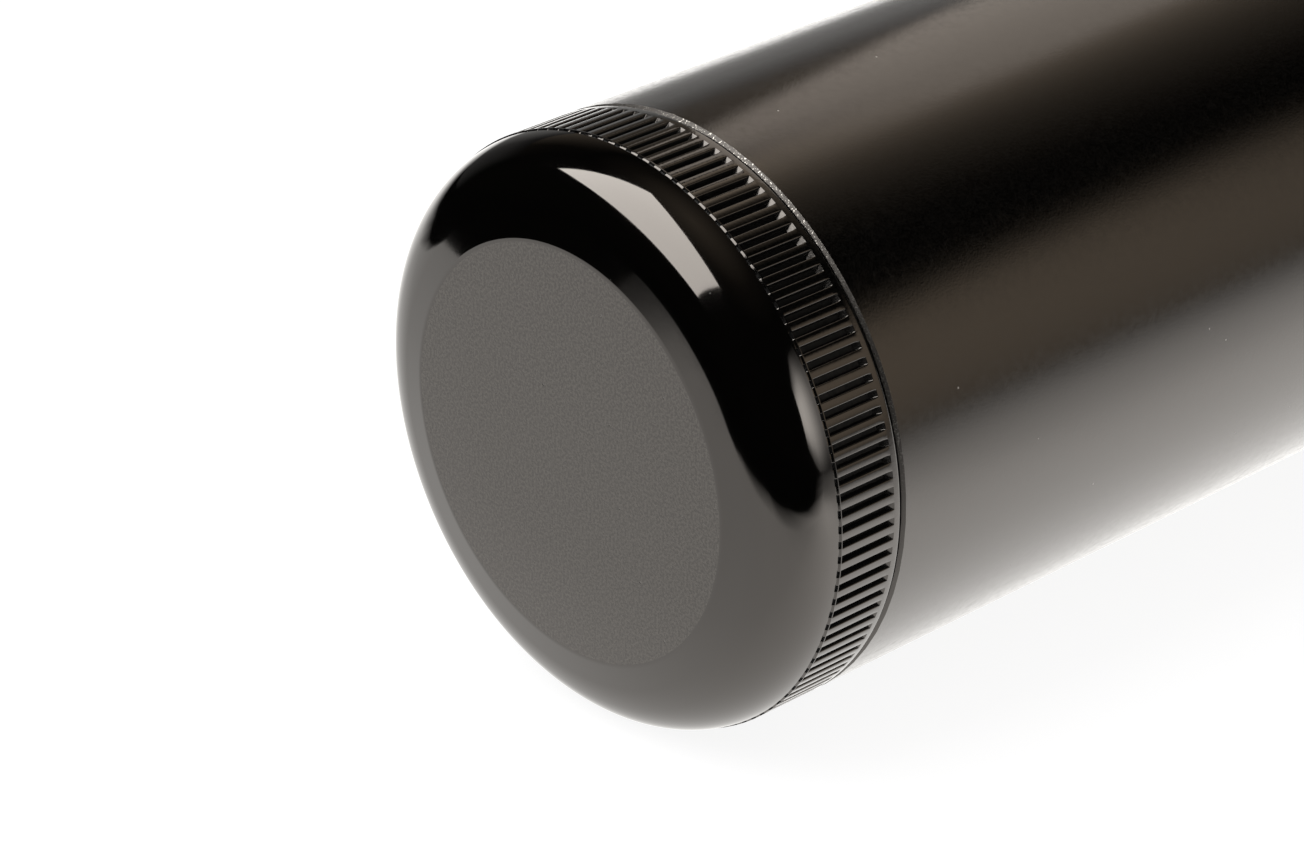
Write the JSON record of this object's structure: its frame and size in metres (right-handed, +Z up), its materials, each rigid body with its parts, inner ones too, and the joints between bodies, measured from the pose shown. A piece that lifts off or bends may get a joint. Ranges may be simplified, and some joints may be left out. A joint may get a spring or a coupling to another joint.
{
  "type": "d-cell flashlight",
  "caption": "Black metal flashlight for D cells with a screw-on tail cap with a ribbed band, a push button on the barrel, a head that turns to focus and a screw-off face cap with flats.",
  "frame": {"origin": "centre of the flat end face of the tail cap", "axes": "+X along the flashlight's axis from the tail to the lens, +Z up through the switch button"},
  "size_m": [0.25, 0.059, 0.059],
  "materials": {
    "black_satin": "black anodised, satin with a fine grain",
    "black_gloss": "black anodised, polished",
    "black_rubber": "moulded black rubber",
    "spring_steel": "bright spring steel",
    "brass": "plain brass",
    "black_plastic": "moulded black plastic",
    "white_plastic": "moulded white plastic",
    "mirror_coat": "vacuum-coated mirror",
    "clear_glass": "clear",
    "tungsten": "drawn tungsten and lead wire",
    "cell_body": "nickel-plated can",
    "cell_jacket": "plain shrink sleeve with no print",
    "cell_top": "nickel-plated cap"
  },
  "bodies": {
    "barrel": {"barrel": "black_satin", "rear_cell_can": "cell_body", "rear_cell_jacket": "cell_jacket", "rear_cell_terminal": "cell_top", "front_cell_can": "cell_body", "front_cell_jacket": "cell_jacket", "front_cell_terminal": "cell_top", "switch_snap_ring": "spring_steel", "switch_housing_lower": "black_plastic", "switch_housing_upper": "black_plastic", "switch_set_screw": "spring_steel", "battery_contact": "brass", "feed_contact": "brass", "lamp_contact": "brass", "switch_return_spring": "spring_steel", "switch_bezel": "black_satin", "lamp_tower": "black_plastic", "lamp_spring": "spring_steel", "head_seal": "black_rubber", "head_snap_ring": "spring_steel"},
    "switch_button": {"switch_plunger": "white_plastic", "moving_contact": "brass", "switch_boot": "black_rubber"},
    "tail_insert": {"tail_spring": "spring_steel", "spare_lamp_holder": "white_plastic", "spare_lamp_base": "brass", "spare_lamp_glass": "clear_glass"},
    "tail_cap": {"tail_cap": "black_gloss", "tail_seal": "black_rubber"},
    "lamp_carriage": {"lamp_carrier": "white_plastic", "lamp_tip_contact": "brass", "cam_follower": "spring_steel", "lamp_base": "brass", "lamp_glass": "clear_glass", "lamp_filament": "tungsten", "lamp_collar": "spring_steel"},
    "head": {"head": "black_satin", "reflector": "mirror_coat"},
    "lens_stack": {"lens": "clear_glass", "lens_seal": "black_rubber"},
    "face_cap": {"face_cap": "black_gloss"}
  },
  "joints": [
    {"name": "tail_cap_advance", "type": "slide", "parent": "barrel", "child": "tail_insert", "axis": [-1, 0, 0], "range_m": [0, 0.008], "deforming": ["tail_spring"]},
    {"name": "tail_cap_turn", "type": "hinge", "parent": "tail_insert", "child": "tail_cap", "pos_m": [0, 0, 0], "axis": [-1, 0, 0], "range_deg": [0, 1920]},
    {"name": "switch_press", "type": "slide", "parent": "barrel", "child": "switch_button", "axis": [0, 0, -1], "range_m": [0, 0.0018], "stiffness_N_per_m": 3000, "springref_m": -0.001, "deforming": ["switch_return_spring"]},
    {"name": "head_turn", "type": "hinge", "parent": "barrel", "child": "head", "pos_m": [0.2, 0, 0], "axis": [1, 0, 0], "range_deg": [0, 90]},
    {"name": "lamp_focus", "type": "slide", "parent": "barrel", "child": "lamp_carriage", "axis": [-1, 0, 0], "range_m": [0, 0.0035], "deforming": ["lamp_spring"]},
    {"name": "face_cap_advance", "type": "slide", "parent": "head", "child": "lens_stack", "axis": [1, 0, 0], "range_m": [0, 0.006]},
    {"name": "face_cap_turn", "type": "hinge", "parent": "lens_stack", "child": "face_cap", "pos_m": [0.24, 0, 0], "axis": [1, 0, 0], "range_deg": [0, 1440]}
  ],
  "couplings": [
    {"joint": "tail_cap_advance", "follows": "tail_cap_turn", "m_per_rad": 0.00023873},
    {"joint": "lamp_focus", "follows": "head_turn", "m_per_rad": 0.0022282},
    {"joint": "face_cap_advance", "follows": "face_cap_turn", "m_per_rad": 0.00023873}
  ]
}
